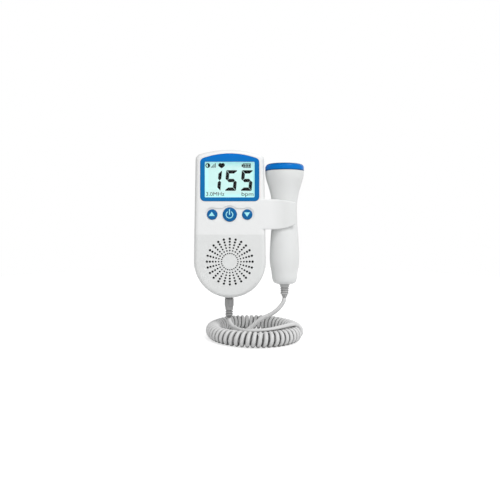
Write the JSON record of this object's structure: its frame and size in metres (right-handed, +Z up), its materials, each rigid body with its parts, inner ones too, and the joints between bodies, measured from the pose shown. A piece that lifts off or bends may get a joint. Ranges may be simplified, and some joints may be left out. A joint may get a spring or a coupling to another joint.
{
  "type": "fetal doppler monitor",
  "caption": "Hand-held fetal heart monitor with a display, three keys and a loudspeaker grille, and an ultrasound probe on a curly cord parked in a side clip.",
  "frame": {"origin": "on the casing's flat back, on its centre line at half the casing's height", "axes": "+Z up the casing towards the crown, +Y out of the back, so the display faces -Y and the probe clip is on +X"},
  "size_m": [0.1028, 0.0924, 0.1763],
  "materials": {
    "casing": "moulded white ABS, satin gloss",
    "blue_trim": "glossy moulded blue ABS",
    "key": "moulded blue key with a pale symbol",
    "window": "clear polished acrylic",
    "lcd": "lit liquid crystal cell, pale cyan",
    "light_guide": "milky light guide",
    "inner_plastic": "plain moulded plastic",
    "rubber_part": "layered elastomer connector",
    "circuit_board": "green solder mask on glass epoxy",
    "black_plastic": "moulded black component plastic",
    "steel": "zinc plated steel",
    "magnet": "ground ferrite with a plated pole",
    "speaker_paper": "black paper cone",
    "copper": "enamelled copper winding",
    "dark_cloth": "black woven dust cloth",
    "cell": "sleeved alkaline cell",
    "contact": "nickel plated spring strip",
    "acoustic_lens": "cast pale acoustic resin",
    "ceramic": "silvered piezo ceramic",
    "backing": "cork and epoxy absorber",
    "grey_rubber": "matt grey moulded rubber",
    "cord": "light grey jacket, satin"
  },
  "bodies": {
    "main_unit": {"battery_left": "cell", "battery_right": "cell", "board_chips": "black_plastic", "board_screws": "steel", "casing_screws": "steel", "contact_plates": "contact", "cord_coil": "cord", "cord_lead_main": "cord", "cord_lead_probe": "cord", "display_window": "window", "front_shell": "casing", "grille_cloth": "dark_cloth", "headphone_jack": "black_plastic", "lcd_backlight": "light_guide", "lcd_connector": "rubber_part", "lcd_holder": "inner_plastic", "lcd_panel": "lcd", "leaf_contacts": "contact", "main_board": "circuit_board", "main_strain_relief": "grey_rubber", "rear_shell": "casing", "screen_bezel": "blue_trim", "speaker_cone": "speaker_paper", "speaker_frame": "steel", "speaker_magnet": "magnet", "switch_bodies": "black_plastic", "voice_coil": "copper"},
    "probe": {"probe_front_shell": "casing", "probe_rear_shell": "casing", "probe_ring": "blue_trim", "acoustic_face": "acoustic_lens", "crystal_transmit": "ceramic", "crystal_receive": "ceramic", "crystal_backing": "backing", "probe_board": "circuit_board", "probe_chips": "black_plastic", "probe_strain_relief": "grey_rubber"},
    "key_up": {"button_up": "key", "switch_plunger_up": "black_plastic"},
    "key_power": {"button_power": "key", "switch_plunger_power": "black_plastic"},
    "key_down": {"button_down": "key", "switch_plunger_down": "black_plastic"},
    "battery_door": {"battery_door": "casing"}
  },
  "joints": [
    {"name": "probe_slide", "type": "slide", "parent": "main_unit", "child": "probe", "axis": [1, 0, 0], "range_m": [0, 0.03]},
    {"name": "key_up_press", "type": "slide", "parent": "main_unit", "child": "key_up", "axis": [0, 1, 0], "range_m": [0, 0.0008], "stiffness_N_per_m": 1500},
    {"name": "key_power_press", "type": "slide", "parent": "main_unit", "child": "key_power", "axis": [0, 1, 0], "range_m": [0, 0.0008], "stiffness_N_per_m": 1500},
    {"name": "key_down_press", "type": "slide", "parent": "main_unit", "child": "key_down", "axis": [0, 1, 0], "range_m": [0, 0.0008], "stiffness_N_per_m": 1500},
    {"name": "battery_door_hinge", "type": "hinge", "parent": "main_unit", "child": "battery_door", "pos_m": [0, 0, -0.05745], "axis": [-1, 0, 0], "range_deg": [0, 75]}
  ]
}
